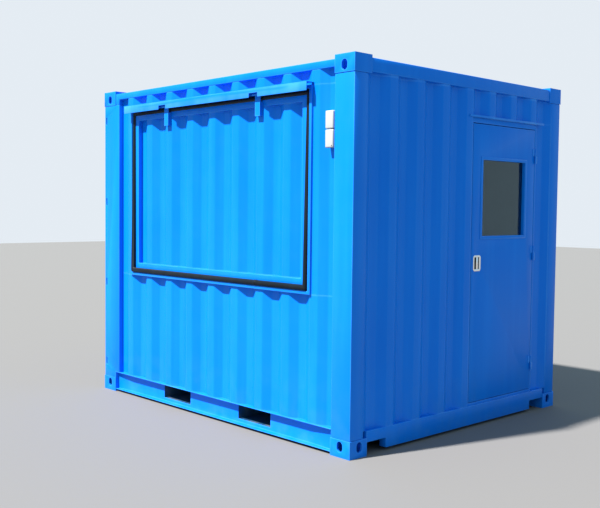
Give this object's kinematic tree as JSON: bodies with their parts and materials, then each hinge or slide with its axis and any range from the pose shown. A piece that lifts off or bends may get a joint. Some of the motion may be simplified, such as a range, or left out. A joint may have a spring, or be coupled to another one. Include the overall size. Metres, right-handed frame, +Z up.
{
  "type": "container kitchen",
  "caption": "Ribbed steel container kitchen with a top-hung serving flap under a gutter on one long side, a glazed personnel door at one end and cargo doors at the other.",
  "frame": {"origin": "on the ground, midway between the four bottom corner fittings' slots", "axes": "+X towards the personnel door, -Y towards the serving hatch, +Z up"},
  "size_m": [2.991, 2.503, 2.591],
  "materials": {
    "paint_blue": "semi-gloss paint, slightly weathered",
    "lining_white": "smooth wipe-clean panel",
    "floor_ply": "sealed plywood",
    "seal_black": "matt",
    "pane_glass": "clear",
    "lock_steel": "satin",
    "cover_white": "moulded"
  },
  "bodies": {
    "container": {"corner_fittings_bottom": "paint_blue", "corner_fittings_top": "paint_blue", "posts_door_end": "paint_blue", "posts_cargo_end": "paint_blue", "rail_bottom_hatch_side": "paint_blue", "rail_bottom_back_side": "paint_blue", "rails_top": "paint_blue", "sill_door_end": "paint_blue", "sill_cargo_end": "paint_blue", "header_door_end": "paint_blue", "header_cargo_end": "paint_blue", "cross_members": "paint_blue", "fork_tunnels": "paint_blue", "floor": "floor_ply", "roof_sheet": "paint_blue", "wall_hatch_below": "paint_blue", "wall_hatch_left": "paint_blue", "wall_hatch_right": "paint_blue", "wall_hatch_above": "paint_blue", "wall_back": "paint_blue", "wall_end_left": "paint_blue", "wall_end_over_door": "paint_blue", "wall_end_right": "paint_blue", "lining_hatch_side": "lining_white", "lining_back": "lining_white", "lining_door_end": "lining_white", "lining_ceiling": "lining_white", "hatch_frame": "paint_blue", "hatch_gutter": "paint_blue", "hatch_hinge_ears": "paint_blue", "service_covers": "cover_white", "door_frame": "paint_blue", "door_drip_rail": "paint_blue", "door_hinges_fixed": "paint_blue", "cargo_doors": "paint_blue", "cargo_door_seals": "seal_black", "cargo_hinges": "paint_blue"},
    "hatch_flap": {"hatch_flap_frame": "paint_blue", "hatch_flap_sheet": "paint_blue", "hatch_flap_skin": "lining_white", "hatch_flap_seal": "seal_black", "hatch_straps": "paint_blue"},
    "personnel_door": {"door_leaf": "paint_blue", "door_hinges_leaf": "paint_blue", "door_window_frame": "paint_blue", "door_pane": "pane_glass", "door_lock": "lock_steel"}
  },
  "joints": [
    {"name": "hatch_flap_hinge", "type": "hinge", "parent": "container", "child": "hatch_flap", "pos_m": [0.029, -1.249, 2.4], "axis": [-1, 0, 0], "range_deg": [0, 90]},
    {"name": "door_hinge", "type": "hinge", "parent": "container", "child": "personnel_door", "pos_m": [1.4885, 0.875, 1.2], "axis": [0, 0, 1], "range_deg": [0, 110]}
  ]
}
